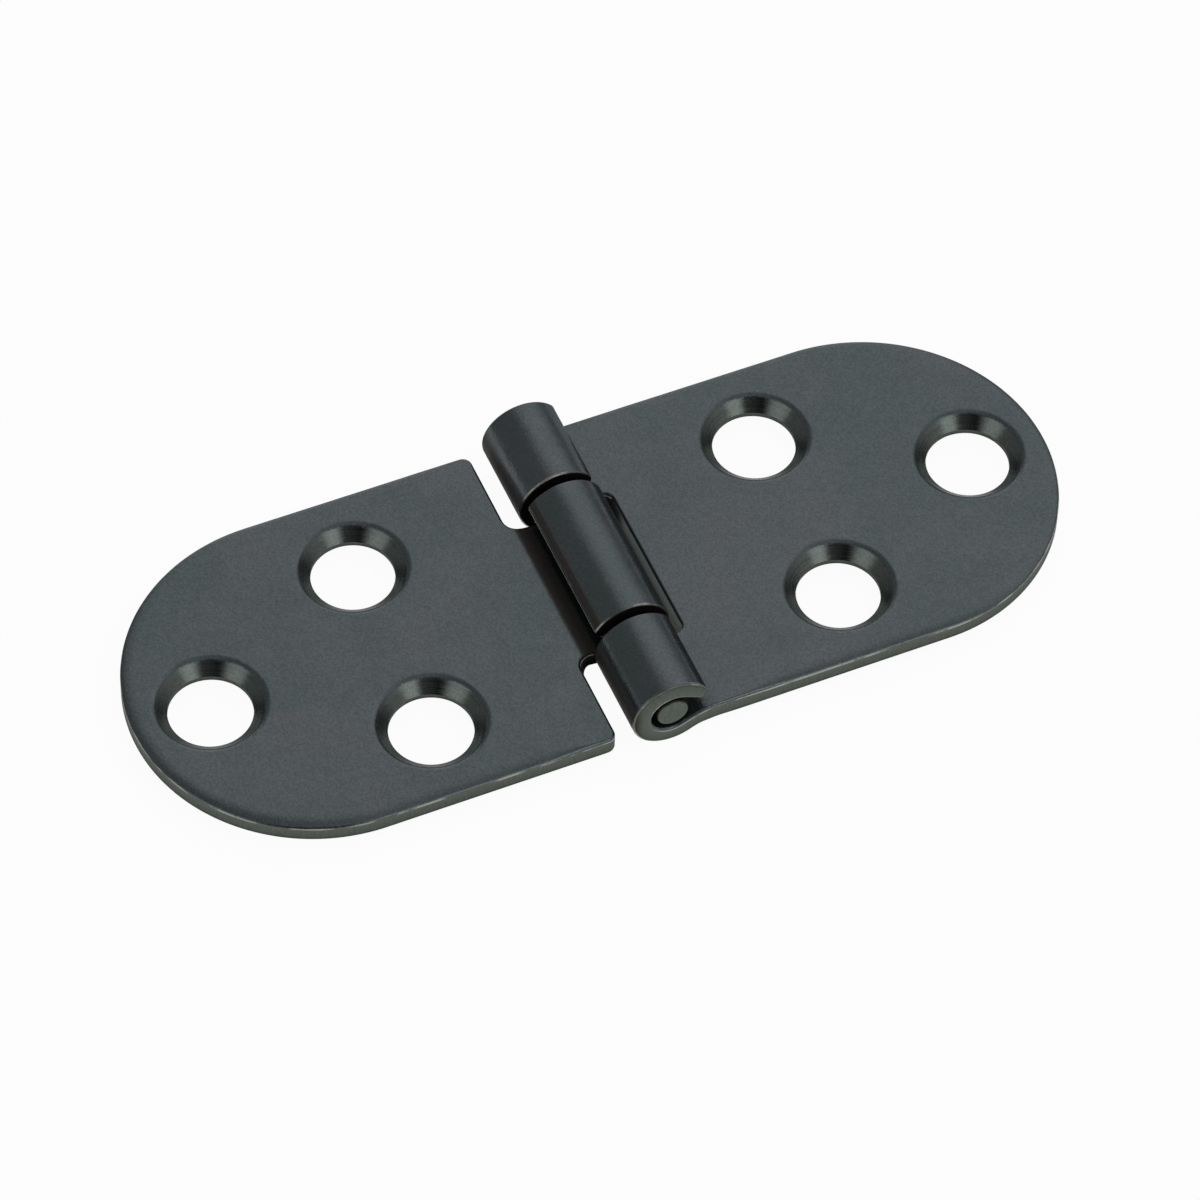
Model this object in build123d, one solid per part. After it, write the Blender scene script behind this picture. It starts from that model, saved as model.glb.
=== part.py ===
from build123d import *
import os
from math import atan2, cos, degrees, radians, sin

# Flush hinge of two rolled sheet steel leaves on one pin. Sizes are in millimetres, angles in degrees.
# X runs along the leaves, Y along the pin and Z up. The hinge lies open and flat, and the origin is
# under the middle of the barrel, at the height of its lowest line.

# Leaves
leaf_width = 30.0
leaf_reach = 38.8
sheet = 1.6

# Barrel
pin_diameter = 3.5
pin_clearance = 0.04
axis_above_leaf = 0.72
dip_start = 4.0
curl_end_angle = 30.0
curl_straight_angle = 64.0
curl_outer_round = 0.6
curl_inner_round = 0.35

# Knuckles and the cuts that make room for them
centre_knuckle_length = 13.4
knuckle_gap = 0.8
notch_clearance = 1.2
slot_clearance = 0.95
tongue_root_radius = 1.2
notch_corner_radius = 0.8
slot_corner_radius = 0.8

# Screw holes
hole_diameter = 6.7
countersink_diameter = 8.9
countersink_angle = 90.0
hole_pair_from_pin = 17.3
hole_pair_from_sides = 6.9
end_hole_from_tip = 6.4

# Edges
sheet_edge_break = 0.2
countersink_rim_round = 0.25
pin_end_diameter = 2.5
pin_end_taper = 0.9

# Worked out from the sizes above
pin_radius = pin_diameter / 2
grip_bore = pin_radius
running_bore = pin_radius + pin_clearance
barrel_radius = running_bore + sheet
leaf_top = barrel_radius - axis_above_leaf
leaf_bottom = leaf_top - sheet
notch_edge = barrel_radius + notch_clearance
slot_edge = barrel_radius + slot_clearance
slot_width = centre_knuckle_length + 2 * knuckle_gap
hole_pair_offset = leaf_width / 2 - hole_pair_from_sides


def around(centre, radius, angle):
    """A point of the side view on a circle, at an angle measured up from +X."""
    turn = radians(angle)
    return centre[0] + radius * cos(turn), centre[1] + radius * sin(turn)


def arc_around(centre, radius, start, end):
    """An arc of the side view from one angle to another."""
    angles = (start, (start + end) / 2, end)
    return ThreePointArc(*(around(centre, radius, angle) for angle in angles))


def side_view(bore):
    """The rolled sheet seen along the pin: flat leaf, dip under the pin, curl round it, sheared end."""
    axis = (0, barrel_radius)
    outside = bore + sheet
    middle = bore + sheet / 2
    drop = axis_above_leaf + sheet / 2

    # One arc dips from the flat leaf to the curl and is tangent to both
    dip_radius = (dip_start**2 + drop**2 - middle**2) / (2 * (middle - drop))
    dip_centre = (dip_start, leaf_top - sheet / 2 - dip_radius)
    dip_turn = degrees(atan2(dip_start, drop + dip_radius))
    curl_start = dip_turn - 90

    # The last stretch inside the curl is straight, and the sheared end is square to it
    straight_start = around(axis, bore, curl_straight_angle)
    end_corner = around(axis, outside, curl_end_angle)
    along = (sin(radians(curl_straight_angle)), -cos(radians(curl_straight_angle)))
    reach = sum((end_corner[i] - straight_start[i]) * along[i] for i in range(2))
    inner_corner = tuple(straight_start[i] + reach * along[i] for i in range(2))

    with BuildSketch(Plane.XZ) as view:
        with BuildLine():
            Line((leaf_reach, leaf_bottom), (dip_start, leaf_bottom))
            arc_around(dip_centre, dip_radius - sheet / 2, 90, 90 + dip_turn)
            arc_around(axis, outside, curl_start, curl_end_angle - 360)
            Line(end_corner, inner_corner)
            Line(inner_corner, straight_start)
            arc_around(axis, bore, curl_straight_angle - 360, curl_start)
            arc_around(dip_centre, dip_radius + sheet / 2, 90 + dip_turn, 90)
            Line((dip_start, leaf_top), (leaf_reach, leaf_top))
            Line((leaf_reach, leaf_top), (leaf_reach, leaf_bottom))
        make_face()
        for corner, radius in ((end_corner, curl_outer_round), (inner_corner, curl_inner_round)):
            fillet(view.vertices().sort_by_distance(Vector(*corner))[0], radius)
    return view.sketch


def leaf_outline(start):
    """Plan of a leaf from a given distance to its half round tip."""
    half_width = leaf_width / 2
    straight_end = leaf_reach - half_width
    with BuildSketch() as plan:
        with Locations((start, 0)):
            Rectangle(straight_end - start, leaf_width, align=(Align.MIN, Align.CENTER))
        with Locations((straight_end, 0)):
            Circle(half_width)
    return plan.sketch


def round_corners(plan, x, y, radius):
    """Round the two corners of a plan at one distance from the pin, on both sides of the middle."""
    for side in (-y, y):
        fillet(plan.vertices().sort_by_distance(Vector(x, side, 0))[0], radius)


def inner_leaf_plan():
    """Plan of the leaf with the centre knuckle, whose corners are cut back round the outer knuckles."""
    with BuildSketch() as plan:
        add(leaf_outline(notch_edge))
        with Locations((-barrel_radius, 0)):
            Rectangle(
                barrel_radius + 2 * notch_edge, centre_knuckle_length, align=(Align.MIN, Align.CENTER)
            )
        round_corners(plan, notch_edge, leaf_width / 2, notch_corner_radius)
        round_corners(plan, notch_edge, centre_knuckle_length / 2, tongue_root_radius)
    return plan.sketch


def outer_leaf_plan():
    """Plan of the leaf with the two outer knuckles and the slot for the centre knuckle between them."""
    with BuildSketch() as plan:
        add(leaf_outline(-barrel_radius))
        with Locations((-barrel_radius, 0)):
            Rectangle(
                barrel_radius + slot_edge,
                slot_width,
                align=(Align.MIN, Align.CENTER),
                mode=Mode.SUBTRACT,
            )
        round_corners(plan, slot_edge, slot_width / 2, slot_corner_radius)
    return plan.sketch


def screw_holes():
    """Cut the three countersunk holes, from the face that the barrel stands on."""
    with Locations((0, 0, leaf_top)):
        with Locations(
            (hole_pair_from_pin, -hole_pair_offset),
            (hole_pair_from_pin, hole_pair_offset),
            (leaf_reach - end_hole_from_tip, 0),
        ):
            CounterSinkHole(
                hole_diameter / 2,
                countersink_diameter / 2,
                depth=2 * sheet,
                counter_sink_angle=countersink_angle,
            )


def leaf(plan, bore):
    """One leaf, with the sharp edges of the sheet broken all round."""
    with BuildPart() as body:
        extrude(side_view(bore), leaf_width / 2, both=True)
        extrude(plan, 2 * barrel_radius, mode=Mode.INTERSECT)
        screw_holes()
        # The break follows the sheet round its knuckles and back along its other face by itself, so the
        # line where the dip starts, which is smooth, is left out
        face = body.faces().filter_by(Plane.XY).sort_by(Axis.Z)[-1]
        rim = face.outer_wire().edges().filter_by(lambda edge: edge.center().X > dip_start)
        chamfer(rim, sheet_edge_break)
        face = body.faces().filter_by(Plane.XY).sort_by(Axis.Z)[-1]
        fillet(face.inner_wires().edges(), countersink_rim_round)
    return body.part


def inner_leaf():
    """The leaf on the -X side, free to turn on the pin."""
    return leaf(inner_leaf_plan(), running_bore).rotate(Axis.Z, 180)


def outer_leaf():
    """The leaf on the +X side, whose two knuckles grip the pin."""
    return leaf(outer_leaf_plan(), grip_bore)


def hinge_pin():
    """Plain pin with tapered ends, flush with the ends of the barrel."""
    taper_middle = leaf_width / 2 - pin_end_taper / 2
    with BuildPart() as pin:
        with Locations((0, 0, barrel_radius)):
            Cylinder(pin_radius, leaf_width - 2 * pin_end_taper, rotation=(90, 0, 0))
        for side in (-1, 1):
            with Locations((0, side * taper_middle, barrel_radius)):
                Cone(pin_radius, pin_end_diameter / 2, pin_end_taper, rotation=(-90 * side, 0, 0))
    return pin.part


os.makedirs("parts", exist_ok=True)
for name, build in {"inner_leaf": inner_leaf, "outer_leaf": outer_leaf, "hinge_pin": hinge_pin}.items():
    export_step(build(), f"parts/{name}.step")
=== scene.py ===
from math import atan2, cos, degrees, hypot, pi, radians, sin, sqrt

import bmesh
import bpy
from mathutils import Matrix, Vector


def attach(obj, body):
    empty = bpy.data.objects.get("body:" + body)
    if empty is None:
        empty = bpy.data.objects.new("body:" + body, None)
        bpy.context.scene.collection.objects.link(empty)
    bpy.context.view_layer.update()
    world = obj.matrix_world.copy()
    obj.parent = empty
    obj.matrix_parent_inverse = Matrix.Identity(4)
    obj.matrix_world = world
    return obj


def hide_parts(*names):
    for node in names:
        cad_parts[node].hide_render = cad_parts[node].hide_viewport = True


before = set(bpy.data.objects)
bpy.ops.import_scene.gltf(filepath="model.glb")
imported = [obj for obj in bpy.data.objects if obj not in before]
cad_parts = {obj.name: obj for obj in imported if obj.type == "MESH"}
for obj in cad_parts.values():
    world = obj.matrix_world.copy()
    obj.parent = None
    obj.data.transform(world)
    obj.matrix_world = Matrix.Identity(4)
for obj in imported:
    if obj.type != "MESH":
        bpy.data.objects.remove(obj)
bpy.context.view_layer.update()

# Sizes in millimetres and angles in degrees, as in the solids but for HALF_WIDTH (15.0 there),
# TONGUE_HALF (6.7) and SLOT_HALF (7.5). X runs along the leaves, Y along the pin and Z up, and the
# origin is under the middle of the barrel at the height of its lowest line.
MM = 0.001
HALF_WIDTH = 15.06
LEAF_REACH = 38.8
HALF_SHEET = 0.8
PIN_RADIUS = 1.75
PIN_CLEARANCE = 0.04
AXIS_HEIGHT = 3.39
LEAF_TOP = 2.67
DIP_START = 4.0
CURL_STRAIGHT = 64.0
CURL_INNER_ROUND = 0.35
NOTCH_EDGE = 4.59
SLOT_EDGE = 4.34
TONGUE_HALF = 6.77
SLOT_HALF = 7.43
TONGUE_ROOT = 1.2
PLAN_CORNER = 0.8
HOLES = ((17.3, -8.1), (17.3, 8.1), (32.4, 0.0))
HOLE_RADIUS = 3.35
SINK_RADIUS = 4.45

# Angle at which each curl is sheared off, and how far its outer corner is rounded. In the solids
# both curls end like the outer leaf's.
OUTER_END = (30.0, 0.6)
INNER_END = (27.5, 0.15)

# Camera fitted to the photograph's outline and holes: degrees, millimetres and pixels of the photograph
CAMERA_AZIMUTH = -24.86
CAMERA_ELEVATION = 52.535
CAMERA_ROLL = 1.941
CAMERA_DISTANCE = 481.548
CAMERA_SHIFT = (0.391, -1.849)
FOCAL_PIXELS = 6134.657
PHOTO_PIXELS = 1200
SENSOR = 36

# Soft light from the world: its level, and banks of light as direction, angles at which each starts
# and is full, and gain. A gain below 0 makes a dark patch. The first bank fades towards the horizon.
WORLD_LEVEL = 0.31
LIGHT_BANKS = (
    ((0.68, 0.50, 0.58), 58, 21, 0.70),
    ((-0.84, -0.22, 0.52), 23, 7, 1.05),
    ((0.28, -0.79, 0.54), 19, 6, 1.2),
    ((0.25, -0.90, 0.35), 68, 26, 0.34),
    ((-0.28, -0.74, 0.61), 27, 14, -0.56),
    ((0.26, 0.94, 0.18), 26, 10, 0.8),
)

# How the punched edges are rounded: wide and soft on the face that the punch entered, and tight on
# the other face
ROLL_IN = 1.15  # width of the soft edge
ROLL_NARROW = 0.22  # share of that width beside the barrel
ROLL_DOWN = 0.30  # depth of the soft edge
ROLL_LEAN = 0.4  # how much deeper it is along the near side, and shallower along the far side
BURR_BREAK = 0.15  # on the knuckles and at the foot of the holes
LEAF_BURR_BREAK = 0.07
SLOT_BURR = 0.3  # how far the foot of the slot's wall leans
RIM_ROUND = 0.75
BORE_ROUND = 0.07
KNUCKLE_BULGE = 0.07
FAR_END = 0.3  # how much longer the far knuckle is at its far end

# Steps round a hole, and the levels down the walls at which each material ends
HOLE_STEPS = 96
# The last material, for edges, is wear together with a painted highlight
SKIN, CUT, SINK, WEAR_AND_HIGHLIGHT = range(4)
EDGE_LEVELS = ((8, SKIN), (10, WEAR_AND_HIGHLIGHT), (14, CUT))
HOLE_LEVELS = ((8, SKIN), (11, SINK), (16, CUT))

# Painted shade: brownish black in the dip and on the barrel's side facing it, a lighter brownish painted
# shade on the centre knuckle's flank, and near black deep in the gaps
BROWN_SHADE = (0.043, 0.038, 0.035)
FLANK_BROWN_SHADE = (0.2, 0.185, 0.172)
GAP_BLACK_SHADE = (0.012, 0.009, 0.008)


def share_of(value, low, high):
    """0 below low, 1 above high and a straight rise between them."""
    return min(1.0, max(0.0, (value - low) / (high - low)))


def eased(value, low, high):
    """0 below low, 1 above high and a soft step between them."""
    share = share_of(value, low, high)
    return share * share * (3 - 2 * share)


def turned(centre, radius, angle):
    """A point on a circle, at an angle in degrees."""
    return centre[0] + radius * cos(radians(angle)), centre[1] + radius * sin(radians(angle))


def arc_points(centre, radius, start, end, steps):
    """Points along an arc, both ends included."""
    return [turned(centre, radius, start + (end - start) * i / steps) for i in range(steps + 1)]


def along_path(points, share):
    """The point at a share of a path's length."""
    lengths = [hypot(b[0] - a[0], b[1] - a[1]) for a, b in zip(points, points[1:])]
    left = share * sum(lengths)
    for (a, b), length in zip(zip(points, points[1:]), lengths):
        if left <= length or b == points[-1]:
            part = left / length if length else 0
            return a[0] + (b[0] - a[0]) * part, a[1] + (b[1] - a[1]) * part
        left -= length


class RolledSheet:
    """Carries points of the flat blank onto the rolled sheet: flat leaf, dip under the pin and curl
    round it.

    In the blank, u runs along the sheet (u is X as far as the dip), v is Y, and w is the height above
    the middle of the sheet, whose upper face ends up inside the curl."""

    def __init__(self, bore, end_angle, end_round):
        self.bore = bore
        self.end_angle = end_angle
        self.end_round = end_round
        self.outside = bore + 2 * HALF_SHEET
        self.middle = bore + HALF_SHEET
        drop = AXIS_HEIGHT - LEAF_TOP + HALF_SHEET
        self.dip_radius = (DIP_START**2 + drop**2 - self.middle**2) / (2 * (self.middle - drop))
        self.dip_centre = (DIP_START, LEAF_TOP - HALF_SHEET - self.dip_radius)
        self.dip_turn = degrees(atan2(DIP_START, drop + self.dip_radius))
        self.axis = (0.0, AXIS_HEIGHT)
        self.curl_from = self.dip_turn - 90
        self.curl_to = CURL_STRAIGHT - 360
        self.dip_end = DIP_START - radians(self.dip_turn) * self.dip_radius
        self.curl_end = self.dip_end - radians(self.curl_from - self.curl_to) * self.middle
        self.end = self.curl_end - radians(CURL_STRAIGHT - self.end_angle) * self.middle
        self._last_stretch()

    def _last_stretch(self):
        """The two faces of the sheet from the end of the round part to the sheared end."""
        travel = (sin(radians(CURL_STRAIGHT)), -cos(radians(CURL_STRAIGHT)))
        outer_corner = turned(self.axis, self.outside, self.end_angle)
        inner_start = turned(self.axis, self.bore, CURL_STRAIGHT)
        reach = sum((outer_corner[i] - inner_start[i]) * travel[i] for i in (0, 1))
        inner_corner = tuple(inner_start[i] + reach * travel[i] for i in (0, 1))
        face = hypot(inner_corner[0] - outer_corner[0], inner_corner[1] - outer_corner[1])
        inward = tuple((inner_corner[i] - outer_corner[i]) / face for i in (0, 1))
        r = self.end_round
        base = tuple(outer_corner[i] - self.axis[i] - travel[i] * r for i in (0, 1))
        b = sum(base[i] * inward[i] for i in (0, 1))
        c = base[0] ** 2 + base[1] ** 2 - (self.outside - r) ** 2
        step = -b - sqrt(b * b - c)
        if step < 0:
            step = -b + sqrt(b * b - c)
        centre = tuple(outer_corner[i] - travel[i] * r + inward[i] * step for i in (0, 1))
        meets = degrees(atan2(centre[1] - self.axis[1], centre[0] - self.axis[0]))
        faces = degrees(atan2(travel[1], travel[0]))
        self.outer_path = arc_points(self.axis, self.outside, CURL_STRAIGHT, meets, 24)
        self.outer_path += arc_points(centre, r, meets, faces, 24)[1:]
        r = CURL_INNER_ROUND
        centre = tuple(inner_corner[i] - (inward[i] + travel[i]) * r for i in (0, 1))
        off = degrees(atan2(inward[1], inward[0]))
        while off > faces + 180:
            off -= 360
        while off < faces - 180:
            off += 360
        self.inner_path = [inner_start] + arc_points(centre, r, off, faces, 24)

    def section(self, u, w):
        """The place in the side view of a point of the blank."""
        if u >= DIP_START:
            return u, LEAF_TOP - HALF_SHEET + w
        if u >= self.dip_end:
            angle = 90 + degrees((DIP_START - u) / self.dip_radius)
            return turned(self.dip_centre, self.dip_radius + w, angle)
        if u >= self.curl_end:
            angle = self.curl_from - degrees((self.dip_end - u) / self.middle)
            return turned(self.axis, self.middle - w, angle)
        share = min(1.0, (self.curl_end - u) / (self.curl_end - self.end))
        outer = along_path(self.outer_path, share)
        inner = along_path(self.inner_path, share)
        part = (w + HALF_SHEET) / (2 * HALF_SHEET)
        return outer[0] + (inner[0] - outer[0]) * part, outer[1] + (inner[1] - outer[1]) * part

    def place(self, u, v, w, side):
        """The point on the hinge. The rolling squeezes the inside of the curl out at its ends, and the
        far knuckle's far end is longer."""
        x, z = self.section(u, w)
        rolled = eased(DIP_START - 0.6 - u, 0.0, 1.6)
        v += FAR_END * rolled * share_of(v - HALF_WIDTH + 2.0, 0.0, 1.6)
        return Vector((x, v + side * KNUCKLE_BULGE * rolled * (w / HALF_SHEET), z))

    def direction(self, u, w, normal):
        """The blank's normal as it stands on the hinge."""
        step = 1e-3
        u = max(u, self.end + 0.03)
        a, b = self.section(u - step, w), self.section(u + step, w)
        along = ((b[0] - a[0]) / (2 * step), (b[1] - a[1]) / (2 * step))
        a, b = self.section(u, w - step), self.section(u, w + step)
        across = ((b[0] - a[0]) / (2 * step), (b[1] - a[1]) / (2 * step))
        det = along[0] * across[1] - along[1] * across[0]
        x = normal[0] * across[1] - normal[2] * along[1]
        z = -normal[0] * across[0] + normal[2] * along[0]
        out = Vector((x, normal[1] * det, z))
        return out.normalized() if out.length > 1e-9 else Vector((0, normal[1], 0))

    def cuts(self):
        """Where the blank needs vertices across it so that it can roll."""
        found = [DIP_START - (DIP_START - self.dip_end) * i / 14 for i in range(15)]
        found += [self.dip_end - (self.dip_end - self.curl_end) * i / 84 for i in range(1, 85)]
        found += [self.curl_end - (self.curl_end - self.end) * i / 8 for i in range(1, 5)]
        # Closer together where the corners of the sheared end are
        found += [self.curl_end - (self.curl_end - self.end) * (0.5 + i / 32) for i in range(1, 16)]
        return found


def straight(start, end, normal, steps=1):
    """A straight run of the blank's outline, with its outward normal."""
    shares = [i / steps for i in range(steps + 1)]
    return [tuple(start[k] + (end[k] - start[k]) * t for k in (0, 1)) + normal for t in shares]


def corner(centre, radius, start, end, hollow=False, steps=12):
    """A rounded corner of the blank's outline, with its outward normals."""
    points = []
    for i in range(steps + 1):
        angle = radians(start + (end - start) * i / steps)
        away = (cos(angle), sin(angle))
        facing = (-away[0], -away[1]) if hollow else away
        points.append((centre[0] + radius * away[0], centre[1] + radius * away[1], *facing))
    return points


def tidy_outline(points):
    """The outline with its doubled points left out."""
    kept = []
    for point in points:
        if not kept or hypot(point[0] - kept[-1][0], point[1] - kept[-1][1]) > 1e-6:
            kept.append(point)
    return kept


def tip_outline(start):
    """Near side, half round tip and far side of a leaf."""
    tip = LEAF_REACH - HALF_WIDTH
    return (
        straight((start, -HALF_WIDTH), (tip, -HALF_WIDTH), (0, -1), 48)
        + corner((tip, 0), HALF_WIDTH, -90, 90, steps=96)
        + straight((tip, HALF_WIDTH), (start, HALF_WIDTH), (0, 1), 48)
    )


def outer_blank(end):
    """Outline of the leaf with two knuckles, anticlockwise, each point with its outward normal."""
    inner = SLOT_EDGE - PLAN_CORNER
    side = SLOT_HALF - PLAN_CORNER
    return tidy_outline(
        tip_outline(end)
        + straight((end, SLOT_HALF), (inner, SLOT_HALF), (0, -1))
        + corner((inner, side), PLAN_CORNER, 90, 0, hollow=True)
        + straight((SLOT_EDGE, side), (SLOT_EDGE, -side), (-1, 0))
        + corner((inner, -side), PLAN_CORNER, 0, -90, hollow=True)
        + straight((inner, -SLOT_HALF), (end, -SLOT_HALF), (0, 1))
    )


def inner_blank(end):
    """Outline of the leaf with one knuckle, anticlockwise, each point with its outward normal."""
    root = NOTCH_EDGE - TONGUE_ROOT
    foot = TONGUE_HALF + TONGUE_ROOT
    shoulder = NOTCH_EDGE + PLAN_CORNER
    side = HALF_WIDTH - PLAN_CORNER
    return tidy_outline(
        straight((end, -TONGUE_HALF), (root, -TONGUE_HALF), (0, -1))
        + corner((root, -foot), TONGUE_ROOT, 90, 0, hollow=True)
        + straight((NOTCH_EDGE, -foot), (NOTCH_EDGE, -side), (-1, 0))
        + corner((shoulder, -side), PLAN_CORNER, 180, 270)
        + tip_outline(shoulder)
        + corner((shoulder, side), PLAN_CORNER, 90, 180)
        + straight((NOTCH_EDGE, side), (NOTCH_EDGE, foot), (-1, 0))
        + corner((root, foot), TONGUE_ROOT, 0, -90, hollow=True)
        + straight((root, TONGUE_HALF), (end, TONGUE_HALF), (0, 1))
    )


def edge_rings(outline, lean):
    """The sheet's cut edge from its upper face down: rings of points with their normals. The roll at
    the top narrows near the barrel and is deeper on one long side, and the foot of the slot's wall
    leans towards the barrel."""
    for i in range(11):
        a = radians(90 * i / 10)
        ring = []
        for u, v, nu, nv in outline:
            width = ROLL_IN * (ROLL_NARROW + (1 - ROLL_NARROW) * eased(u, 6.0, 11.0))
            down = ROLL_DOWN * (1 - lean * nv * eased(u, 5.0, 9.0))
            out, up = sin(a) / width, cos(a) / down
            size = hypot(out, up)
            inset = width * (1 - sin(a))
            height = HALF_SHEET - down * (1 - cos(a))
            facing = (nu * out / size, nv * out / size, up / size)
            ring.append((u - inset * nu, v - inset * nv, height, *facing, nv))
        yield ring
    for i in range(4):
        a = radians(90 * i / 3)
        ring = []
        for u, v, nu, nv in outline:
            in_slot = abs(u - SLOT_EDGE) < 1 and abs(v) < SLOT_HALF and nu < 0
            small = BURR_BREAK + (LEAF_BURR_BREAK - BURR_BREAK) * eased(u, 4.0, 6.0)
            inset = small * (1 - cos(a)) + (SLOT_BURR * nu if in_slot else 0)
            height = -HALF_SHEET + small * (1 - sin(a))
            facing = (nu * cos(a), nv * cos(a), -sin(a))
            ring.append((u - inset * nu, v - inset * nv, height, *facing, nv))
        yield ring


def hole_levels():
    """A countersunk hole from its upper rim down: radius, height, and normal outward and up."""
    levels = []
    reach = RIM_ROUND * sin(radians(22.5)) / cos(radians(22.5))
    for i in range(9):
        a = radians(45 * i / 8)
        radius = SINK_RADIUS + reach - RIM_ROUND * sin(a)
        levels.append((radius, HALF_SHEET - RIM_ROUND * (1 - cos(a)), -sin(a), cos(a)))
    depth = SINK_RADIUS - HOLE_RADIUS
    reach = BORE_ROUND * sin(radians(22.5)) / cos(radians(22.5))
    centre = HOLE_RADIUS + BORE_ROUND, HALF_SHEET - depth - reach
    for i in range(4):
        a = radians(45 + 45 * i / 3)
        radius, height = centre[0] - BORE_ROUND * sin(a), centre[1] + BORE_ROUND * cos(a)
        levels.append((radius, height, -sin(a), cos(a)))
    for i in range(4):
        a = radians(90 * i / 3)
        radius = HOLE_RADIUS + BURR_BREAK * (1 - cos(a))
        levels.append((radius, -HALF_SHEET + BURR_BREAK * (1 - sin(a)), -cos(a), -sin(a)))
    return levels


def hole_rings(x, y):
    """The walls of a hole from its upper rim down: rings of points with their normals."""
    for radius, height, out, up in hole_levels():
        ring = []
        for i in range(HOLE_STEPS):
            a = -2 * pi * i / HOLE_STEPS
            facing = (cos(a) * out, sin(a) * out, up)
            ring.append((x + radius * cos(a), y + radius * sin(a), height, *facing, 0))
        yield ring


def spans(face, u):
    """Whether a face of the blank lies on both sides of a cut across it."""
    places = [vert.co.x for vert in face.verts]
    return min(places) < u - 1e-6 and u + 1e-6 < max(places)


def build_leaf(name, outline_of, bore, end_angle, end_round, turn):
    """One leaf as a single rolled sheet, with rounded edges. Its materials are the skin, the cut
    edges, the countersinks and the edges with wear and a painted highlight. The UV map has millimetres
    of the flat blank: along a cut edge and up it, or across the skin."""
    sheet = RolledSheet(bore, end_angle, end_round)
    outline = outline_of(sheet.end)
    # The side of the blank that ends up at the front: the inner leaf's is turned half round
    front_side = -1 if turn == 0 else 1
    bm = bmesh.new()
    facing = bm.verts.layers.float_vector.new("facing")
    sideways = bm.verts.layers.float.new("sideways")
    square = bm.faces.layers.int.new("square")
    blank = bm.loops.layers.uv.new("sheet")

    def loops(rings):
        """A row of vertices for each ring of points."""
        made = []
        for ring in rings:
            row = []
            for u, v, w, *normal, side in ring:
                vert = bm.verts.new((u, v, w))
                vert[facing] = normal
                vert[sideways] = side
                row.append(vert)
            made.append(row)
        return made

    def walls(rows, materials):
        """Faces between the rows, each with the two places along the row that it joins."""
        made = []
        count = len(rows[0])
        around = [0.0]
        for i in range(count):
            around.append(around[-1] + (rows[0][(i + 1) % count].co - rows[0][i].co).length)
        for level, (upper, lower) in enumerate(zip(rows, rows[1:])):
            for i in range(count):
                j = (i + 1) % count
                face = bm.faces.new((upper[j], upper[i], lower[i], lower[j]))
                face.material_index = next(one for below, one in materials if level < below)
                distances = (around[i + 1], around[i], around[i], around[i + 1])
                for loop, distance in zip(face.loops, distances):
                    loop[blank].uv = (distance, loop.vert.co.z)
                made.append((face, i, j))
        return made

    rows = loops(edge_rings(outline, -front_side * ROLL_LEAN))
    for face, i, j in walls(rows, EDGE_LEVELS):
        a, b = outline[i], outline[j]
        if abs(a[0] - sheet.end) < 1e-6 and abs(b[0] - sheet.end) < 1e-6:
            face[square] = 1
            face.material_index = CUT
    tops, bottoms = [rows[0]], [rows[-1]]

    for x, y in HOLES:
        rows = loops(hole_rings(x, y))
        walls(rows, HOLE_LEVELS)
        tops.append(rows[0])
        bottoms.append(rows[-1])

    for rings, up in ((tops, 1), (bottoms, -1)):
        edges = []
        for row in rings:
            for a, b in zip(row, row[1:] + row[:1]):
                edges.append(bm.edges.get((a, b)))
        filled = bmesh.ops.triangle_fill(bm, edges=edges, use_beauty=True, normal=(0, 0, up))
        for face in filled["geom"]:
            if isinstance(face, bmesh.types.BMFace):
                face.normal_update()
                if face.normal.z * up < 0:
                    face.normal_flip()
                face.material_index = SKIN
                for loop in face.loops:
                    loop[blank].uv = loop.vert.co.xy

    for u in sheet.cuts():
        near = [face for face in bm.faces if spans(face, u)]
        geometry = list({e for f in near for e in f.edges} | {v for f in near for v in f.verts}) + near
        bmesh.ops.bisect_plane(bm, geom=geometry, dist=1e-6, plane_co=(u, 0, 0), plane_no=(1, 0, 0))

    # By the barrel, only the edges that face the front and the centre knuckle's sheared end get wear and
    # a painted highlight
    for face in bm.faces:
        middle = face.calc_center_median()
        front = sum(v[sideways] for v in face.verts) * front_side > 1
        height = max(v.co.z for v in face.verts)
        burr = height < BURR_BREAK - HALF_SHEET + 1e-6
        if burr and middle.x < DIP_START - 1.5 and height > 1e-6 - HALF_SHEET:
            face.material_index = WEAR_AND_HIGHLIGHT if front else SKIN
        if burr and turn and middle.x < sheet.end + 0.12:
            face.material_index = WEAR_AND_HIGHLIGHT
        if face.material_index == WEAR_AND_HIGHLIGHT and not burr and not front and middle.x < 6:
            face.material_index = SKIN

    bm.verts.ensure_lookup_table()
    normals = {}
    places = {}
    for vert in bm.verts:
        u, v, w = vert.co
        side = vert[sideways] if u < DIP_START else 0
        if u < DIP_START and abs(side) < 0.5:
            side = 0
        normals[vert.index] = sheet.direction(u, w, vert[facing])
        places[vert.index] = sheet.place(u, v, w, side)
    end_facing = Vector((sin(radians(CURL_STRAIGHT)), 0, -cos(radians(CURL_STRAIGHT))))
    for vert in bm.verts:
        vert.co = places[vert.index]
    corner_normals = []
    spin = Matrix.Rotation(turn, 3, "Z")
    bm.faces.ensure_lookup_table()
    for face in bm.faces:
        for vert in face.verts:
            n = end_facing if face[square] else normals[vert.index]
            corner_normals.append(spin @ n)
    mesh = bpy.data.meshes.new(name)
    bm.transform(Matrix.Rotation(turn, 4, "Z"))
    bmesh.ops.scale(bm, vec=(MM, MM, MM), verts=bm.verts)
    bm.to_mesh(mesh)
    bm.free()
    for polygon in mesh.polygons:
        polygon.use_smooth = True
    mesh.normals_split_custom_set([tuple(n) for n in corner_normals])
    made = bpy.data.objects.new(name, mesh)
    bpy.context.scene.collection.objects.link(made)
    return made


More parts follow.
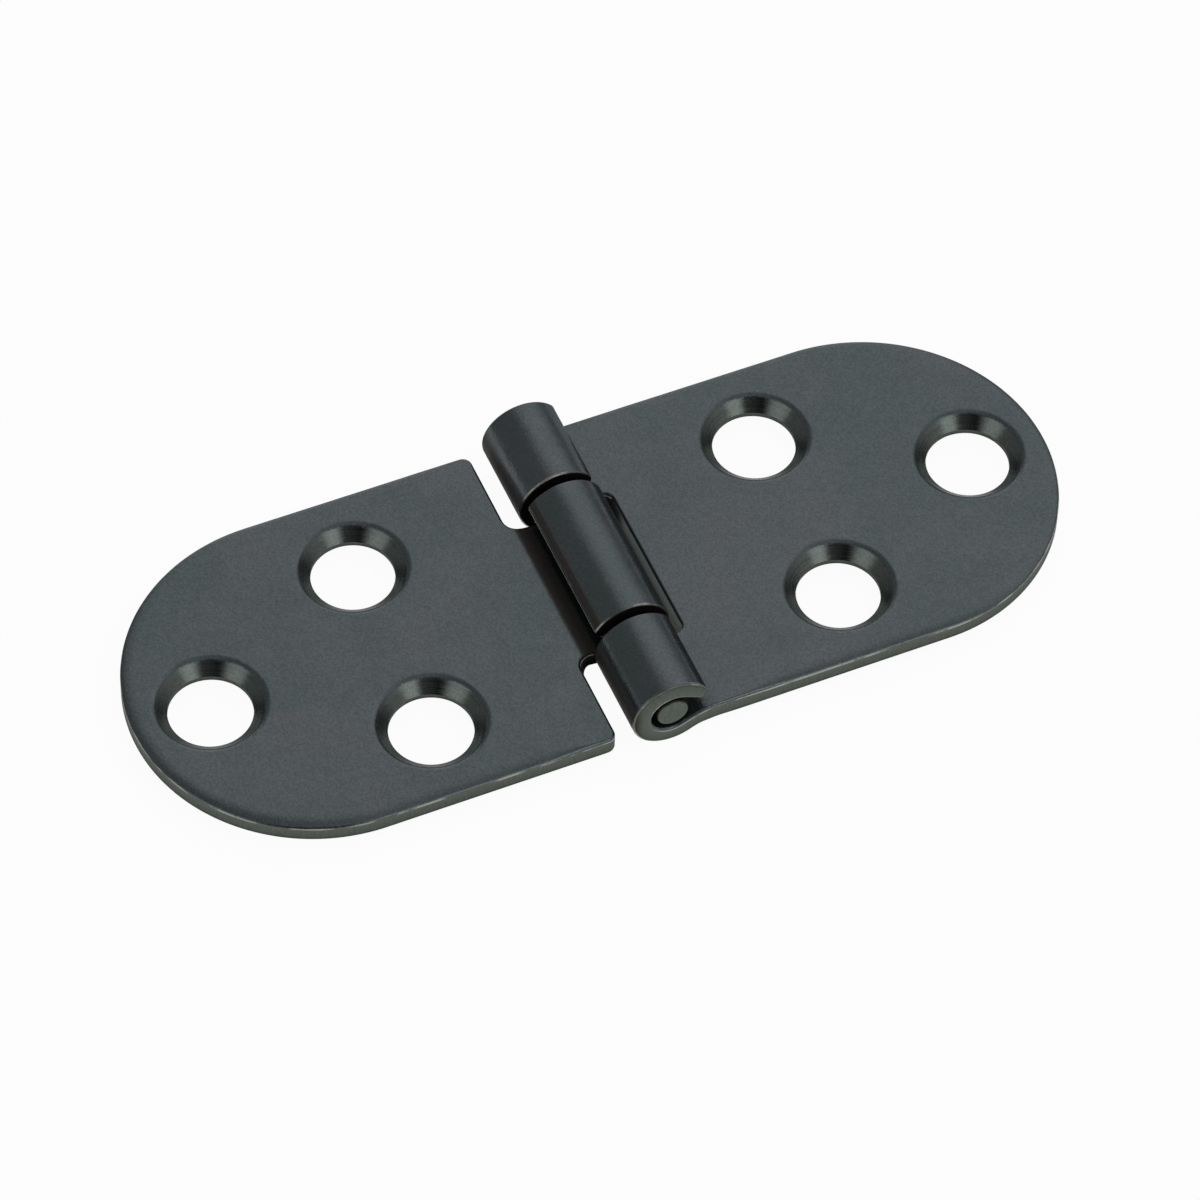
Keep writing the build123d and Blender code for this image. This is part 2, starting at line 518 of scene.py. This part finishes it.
def add_camera():
    """Camera of the photograph, for a square frame."""
    azimuth, elevation, roll = (radians(a) for a in (CAMERA_AZIMUTH, CAMERA_ELEVATION, CAMERA_ROLL))
    distance = CAMERA_DISTANCE * MM
    shift_right, shift_up = (shift * MM for shift in CAMERA_SHIFT)
    back = Vector((sin(azimuth) * cos(elevation), -cos(azimuth) * cos(elevation), sin(elevation)))
    right = Vector((cos(azimuth), sin(azimuth), 0))
    up = back.cross(right)
    place = back * distance + right * shift_right + up * shift_up + Vector((0, 0, LEAF_TOP * MM))
    turned_right = right * cos(roll) + up * sin(roll)
    turned_up = -right * sin(roll) + up * cos(roll)
    data = bpy.data.cameras.new("camera")
    data.lens = FOCAL_PIXELS * SENSOR / PHOTO_PIXELS
    data.sensor_width = SENSOR
    data.clip_start = 0.01
    data.clip_end = 20
    camera = bpy.data.objects.new("camera", data)
    turn = Matrix((turned_right, turned_up, back)).transposed().to_4x4()
    camera.matrix_world = Matrix.Translation(place) @ turn
    bpy.context.scene.collection.objects.link(camera)
    bpy.context.scene.camera = camera


def add_lamp(name, direction, distance, width, height, radiance):
    """A rectangular soft lamp that faces the object and looks as bright as the given radiance."""
    data = bpy.data.lights.new(name, "AREA")
    data.shape = "RECTANGLE"
    data.size = width
    data.size_y = height
    data.energy = radiance * pi * width * height
    lamp = bpy.data.objects.new(name, data)
    towards = Vector(direction).normalized()
    lamp.location = towards * distance
    lamp.rotation_euler = towards.to_track_quat("Z", "Y").to_euler()
    bpy.context.scene.collection.objects.link(lamp)


class Graph:
    """Shorthand for building a node tree."""

    def __init__(self, tree):
        self.nodes, self.links = tree.nodes, tree.links

    def feed(self, socket, value):
        """Link a socket, or set its value."""
        if isinstance(value, bpy.types.NodeSocket):
            self.links.new(value, socket)
        else:
            socket.default_value = value

    def coordinates(self, kind):
        return self.nodes.new("ShaderNodeTexCoord").outputs[kind]

    def sheet(self, along, across):
        """Millimetres of the flat blank, stretched."""
        source = self.nodes.new("ShaderNodeUVMap")
        source.uv_map = "sheet"
        return self.stretched(source.outputs["UV"], along, across, 1)

    def stretched(self, vector, x, y, z):
        node = self.nodes.new("ShaderNodeMapping")
        node.inputs["Scale"].default_value = (x, y, z)
        self.links.new(vector, node.inputs["Vector"])
        return node.outputs["Vector"]

    def part(self, vector, axis):
        node = self.nodes.new("ShaderNodeSeparateXYZ")
        self.links.new(vector, node.inputs[0])
        return node.outputs[axis]

    def noise(self, vector, scale, detail=2.0):
        node = self.nodes.new("ShaderNodeTexNoise")
        node.inputs["Scale"].default_value = scale
        node.inputs["Detail"].default_value = detail
        self.links.new(vector, node.inputs["Vector"])
        return node.outputs["Fac"]

    def ramp(self, value, low, high, start=0.0, end=1.0):
        node = self.nodes.new("ShaderNodeMapRange")
        node.interpolation_type = "SMOOTHSTEP"
        for name, number in (("From Min", low), ("From Max", high), ("To Min", start), ("To Max", end)):
            node.inputs[name].default_value = number
        self.links.new(value, node.inputs["Value"])
        return node.outputs["Result"]

    def combine(self, kind, one, other):
        node = self.nodes.new("ShaderNodeMath")
        node.operation = kind
        self.feed(node.inputs[0], one)
        self.feed(node.inputs[1], other)
        return node.outputs[0]

    def product(self, first, *others):
        for other in others:
            first = self.combine("MULTIPLY", first, other)
        return first

    def window(self, value, begins, full, fades, gone):
        """1 between two limits in millimetres, with soft ends."""
        rise = self.ramp(value, begins * MM, full * MM)
        return self.product(rise, self.ramp(value, fades * MM, gone * MM, 1, 0))

    def below(self, value, full, gone):
        """1 below a limit in millimetres, with a soft end."""
        return self.ramp(value, full * MM, gone * MM, 1, 0)

    def plus(self, value, mask, gain):
        """A value with a gain added where a mask is 1."""
        return self.combine("ADD", value, self.ramp(mask, 0.0, 1.0, 0.0, gain))

    def mix(self, factor, one, two, kind="MIX"):
        node = self.nodes.new("ShaderNodeMix")
        node.data_type = "RGBA"
        node.blend_type = kind
        self.feed(node.inputs[0], factor)
        for socket, colour in ((node.inputs[6], one), (node.inputs[7], two)):
            self.feed(socket, (*colour, 1) if isinstance(colour, tuple) else colour)
        return node.outputs[2]

    def bump(self, height, strength, distance):
        node = self.nodes.new("ShaderNodeBump")
        node.inputs["Strength"].default_value = strength
        node.inputs["Distance"].default_value = distance * MM
        self.links.new(height, node.inputs["Height"])
        return node.outputs["Normal"]


def add_world():
    """Soft light from all round: a wide bank above and behind to the right, smaller ones at the left,
    at the front and low behind, and a dark patch at the front left."""
    world = bpy.data.worlds.new("studio")
    world.use_nodes = True
    graph = Graph(world.node_tree)
    where = graph.coordinates("Generated")
    total = WORLD_LEVEL
    for number, (direction, outer, inner, gain) in enumerate(LIGHT_BANKS):
        facing = graph.nodes.new("ShaderNodeVectorMath")
        facing.operation = "DOT_PRODUCT"
        facing.inputs[1].default_value = Vector(direction).normalized()
        graph.links.new(where, facing.inputs[0])
        bank = graph.ramp(facing.outputs["Value"], cos(radians(outer)), cos(radians(inner)), 0, gain)
        if number == 0:
            bank = graph.product(bank, graph.ramp(graph.part(where, "Z"), 0.08, 0.62))
        total = graph.combine("ADD", total, bank)
    background = world.node_tree.nodes["Background"]
    background.inputs["Color"].default_value = (1, 1, 1, 1)
    graph.feed(background.inputs["Strength"], total)
    bpy.context.scene.world = world


def add_floor():
    """Plain white floor. To the eye and in reflections it is white, with a soft shadow."""
    mesh = bpy.data.meshes.new("floor")
    half = 3.0
    corners = [(-half, -half, 0), (half, -half, 0), (half, half, 0), (-half, half, 0)]
    mesh.from_pydata(corners, [], [(0, 1, 2, 3)])
    floor = bpy.data.objects.new("floor", mesh)
    floor.location.z = -0.02 * MM
    bpy.context.scene.collection.objects.link(floor)
    material = bpy.data.materials.new("floor")
    material.use_nodes = True
    graph = Graph(material.node_tree)
    graph.nodes.clear()
    out = graph.nodes.new("ShaderNodeOutputMaterial")
    paper = graph.nodes.new("ShaderNodeBsdfDiffuse")
    paper.inputs["Color"].default_value = (0.95, 0.95, 0.95, 1)
    white = graph.nodes.new("ShaderNodeEmission")
    white.inputs["Strength"].default_value = 1.0
    rays = graph.nodes.new("ShaderNodeLightPath").outputs
    seen = graph.combine("MAXIMUM", rays["Is Camera Ray"], rays["Is Glossy Ray"])
    mix = graph.nodes.new("ShaderNodeMixShader")
    graph.feed(mix.inputs[0], graph.product(seen, 0.95))
    graph.feed(mix.inputs[1], paper.outputs[0])
    graph.feed(mix.inputs[2], white.outputs[0])
    graph.feed(out.inputs["Surface"], mix.outputs[0])
    mesh.materials.append(material)


def finish(name, metallic, rough, edge_tint):
    """A material with its shader, and the graph that feeds it."""
    material = bpy.data.materials.new(name)
    material.use_nodes = True
    skin = material.node_tree.nodes["Principled BSDF"]
    skin.inputs["Metallic"].default_value = metallic
    skin.inputs["Roughness"].default_value = rough
    skin.inputs["Specular Tint"].default_value = (*edge_tint, 1)
    skin.inputs["Specular IOR Level"].default_value = 0.25
    return material, skin, Graph(material.node_tree)


def painted_shade(graph, where):
    """Mask of painted shade: in the dip beside the barrel and on the barrel's side that faces it, and a
    painted dark reflection in a strip along the centre knuckle."""
    x, y, z = (graph.part(where, axis) for axis in "XYZ")
    low = graph.product(graph.window(x, -4.3, -3.8, -3.2, -2.4), graph.below(z, 4.0, 5.4))
    middle = graph.below(graph.combine("ABSOLUTE", y, 0.0), 6.85, 6.9)
    strip = graph.product(graph.window(z, 5.1, 5.24, 5.6, 5.84), graph.below(x, -2.1, -1.9), middle)
    return graph.combine("MAXIMUM", low, strip)


def painted_gap_shade(graph, where):
    """Mask of painted shade, where the cut edges are black: on the knuckles' ends between them, at the
    tongue's root and at the far end of the slot."""
    x, y = graph.part(where, "X"), graph.part(where, "Y")
    aside = graph.combine("ABSOLUTE", y, 0.0)
    far = graph.product(graph.ramp(y, 3.6 * MM, 6.0 * MM), graph.ramp(y, 7.6 * MM, 7.8 * MM, 0.85, 0))
    slot = graph.product(graph.window(x, 3.0, 3.4, 4.7, 5.3), far)
    across = graph.window(x, -4.75, -4.6, 3.2, 3.6)
    along = graph.window(aside, 6.3, 6.5, 7.9, 8.6)
    return graph.combine("MAXIMUM", graph.product(across, along), slot)


def leaf_finish():
    """Blackened rolled sheet: satin, finely grained, with slow changes of tone, and painted shade by the
    barrel, in a lighter brown on the centre knuckle's flank."""
    material, skin, graph = finish("leaf_steel", 0.85, 0.23, (0.4, 0.4, 0.4))
    where = graph.coordinates("Object")
    tone = graph.ramp(graph.noise(where, 170, 3), 0.36, 0.64)
    colour = graph.mix(tone, (0.083, 0.101, 0.104), (0.096, 0.106, 0.113))
    grain = graph.noise(where, 6200, 2)
    colour = graph.mix(1.0, colour, graph.ramp(grain, 0.3, 0.7, 0.86, 1.14), "MULTIPLY")
    z, aside = graph.part(where, "Z"), graph.combine("ABSOLUTE", graph.part(where, "Y"), 0.0)
    # Painted shade: black at the tongue's root and brownish by the barrel, lighter brownish on the
    # centre knuckle's flank
    root = graph.product(painted_gap_shade(graph, where), graph.below(z, 2.5, 2.66))
    dark = graph.combine("MAXIMUM", painted_shade(graph, where), root)
    flank = graph.product(graph.window(z, 3.9, 4.5, 4.95, 5.15), graph.below(aside, 6.85, 6.9))
    graph.feed(skin.inputs["Base Color"], graph.mix(dark, colour, graph.mix(flank, BROWN_SHADE, FLANK_BROWN_SHADE)))
    graph.feed(skin.inputs["Metallic"], graph.ramp(dark, 0.0, 1.0, 0.85, 0.25))
    rough = graph.ramp(graph.noise(where, 420, 2), 0.3, 0.7, 0.2, 0.27)
    graph.feed(skin.inputs["Roughness"], graph.plus(rough, dark, 0.35))
    waves = graph.product(graph.noise(where, 900, 1), 1.5)
    height = graph.combine("ADD", graph.noise(where, 3600, 2), waves)
    graph.feed(skin.inputs["Normal"], graph.bump(height, 0.85, 0.02))
    return material


def cut_finish():
    """Punched edge of the sheet: burnished above, torn and duller below, with fine lines up it, and
    painted shade: brownish black by the barrel and black in the gaps."""
    material, skin, graph = finish("cut_steel", 0.45, 0.45, (0.3, 0.3, 0.3))
    where = graph.coordinates("Object")
    lines = graph.noise(graph.sheet(4.5, 0.7), 1.0, 3)
    colour = graph.mix(graph.ramp(lines, 0.3, 0.7), (0.098, 0.116, 0.098), (0.122, 0.14, 0.116))
    up = graph.part(graph.sheet(1, 1), "Y")
    colour = graph.mix(1.0, colour, graph.ramp(up, -0.8, -0.3, 0.5, 1.0), "MULTIPLY")
    # Painted shade: brownish black by the barrel, and near black in the gaps
    colour = graph.mix(painted_shade(graph, where), colour, BROWN_SHADE)
    black = painted_gap_shade(graph, where)
    graph.feed(skin.inputs["Base Color"], graph.mix(black, colour, GAP_BLACK_SHADE))
    rough = graph.ramp(up, -0.3, 0.4, 0.6, 0.4)
    graph.feed(skin.inputs["Roughness"], graph.plus(rough, black, 0.4))
    graph.feed(skin.inputs["Normal"], graph.bump(lines, 0.25, 0.03))
    return material


def sink_finish():
    """Turned walls of the countersinks, with fine rings left by the tool."""
    material, skin, graph = finish("sink_steel", 0.85, 0.2, (0.25, 0.25, 0.25))
    rings = graph.noise(graph.sheet(0.12, 16), 1.0, 3)
    fine = graph.noise(graph.coordinates("Object"), 5200, 2)
    colour = graph.mix(graph.ramp(rings, 0.3, 0.7), (0.084, 0.1, 0.094), (0.116, 0.13, 0.12))
    colour = graph.mix(1.0, colour, graph.ramp(fine, 0.3, 0.7, 0.88, 1.12), "MULTIPLY")
    graph.feed(skin.inputs["Base Color"], colour)
    graph.feed(skin.inputs["Roughness"], graph.ramp(rings, 0.35, 0.65, 0.13, 0.22))
    graph.feed(skin.inputs["Normal"], graph.bump(rings, 0.35, 0.03))
    return material


def edge_finish():
    """Edges of the leaves and knuckles, lighter in broken stretches as wear with a painted highlight,
    and a painted highlight evenly at the centre knuckle's sheared end."""
    material, skin, graph = finish("edge_steel", 0.9, 0.25, (1, 1, 1))
    where = graph.coordinates("Object")
    x, y, z = (graph.part(where, axis) for axis in "XYZ")
    # Wear and painted highlight in broken stretches, a little more where the edge is low
    low = graph.ramp(z, 2.7 * MM, 3.2 * MM, 0.07, 0.0)
    wear_and_highlight = graph.ramp(graph.combine("ADD", graph.noise(where, 430, 3), low), 0.48, 0.64)
    # Painted highlight, even and bright, on the centre knuckle's sheared end
    middle = graph.below(graph.combine("ABSOLUTE", y, 0.0), 6.5, 6.6)
    sheared = graph.product(graph.below(x, -2.7, -2.5), middle, graph.ramp(z, 4.6 * MM, 4.8 * MM))
    wear_and_highlight = graph.combine("MAXIMUM", wear_and_highlight, graph.product(sheared, 0.85))
    graph.feed(skin.inputs["Metallic"], graph.ramp(sheared, 0.0, 1.0, 0.9, 0.2))
    colour = graph.mix(wear_and_highlight, (0.1, 0.11, 0.102), (0.33, 0.34, 0.31))
    graph.feed(skin.inputs["Base Color"], colour)
    graph.feed(skin.inputs["Roughness"], graph.ramp(graph.noise(where, 2600, 2), 0.3, 0.7, 0.2, 0.36))
    return material


def pin_finish():
    """Blackened wire with a faint grain, and painted shade: black outside the flat of its ends."""
    material, skin, graph = finish("pin_steel", 0.7, 0.35, (0.5, 0.5, 0.5))
    where = graph.coordinates("Object")
    marks = graph.noise(graph.stretched(where, 1.0, 0.2, 1.0), 2600, 3)
    colour = graph.mix(graph.ramp(marks, 0.3, 0.7), (0.082, 0.1, 0.086), (0.112, 0.132, 0.112))
    from_axis = graph.nodes.new("ShaderNodeVectorMath")
    from_axis.operation = "DISTANCE"
    from_axis.inputs[1].default_value = (0, 0, AXIS_HEIGHT * MM)
    graph.links.new(graph.stretched(where, 1, 0, 1), from_axis.inputs[0])
    # Painted shade: black outside the flat of the ends, for the shadowed gap round the pin in the bore
    rim = graph.ramp(from_axis.outputs["Value"], 1.24 * MM, 1.34 * MM)
    graph.feed(skin.inputs["Base Color"], graph.mix(rim, colour, (0.02, 0.016, 0.014)))
    graph.feed(skin.inputs["Roughness"], graph.ramp(marks, 0.3, 0.7, 0.3, 0.42))
    graph.feed(skin.inputs["Normal"], graph.bump(marks, 0.3, 0.03))
    return material


scene = bpy.context.scene
scene.view_settings.view_transform = "Standard"
add_camera()
add_world()
add_lamp("overhead", (-0.05, -0.18, 0.98), 0.9, 0.5, 0.5, 0.12)
add_floor()

# In the order of SKIN, CUT, SINK and the edges with wear and a painted highlight
finishes = (leaf_finish(), cut_finish(), sink_finish(), edge_finish())
for node, outline_of, bore, end, turn in (
    ("outer_leaf", outer_blank, PIN_RADIUS, OUTER_END, 0.0),
    ("inner_leaf", inner_blank, PIN_RADIUS + PIN_CLEARANCE, INNER_END, pi),
):
    piece = build_leaf(node + "_sheet", outline_of, bore, *end, turn)
    for one in finishes:
        piece.data.materials.append(one)
    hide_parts(node)
    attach(piece, node)
pin_steel = pin_finish()
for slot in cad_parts["hinge_pin"].material_slots:
    slot.material = pin_steel
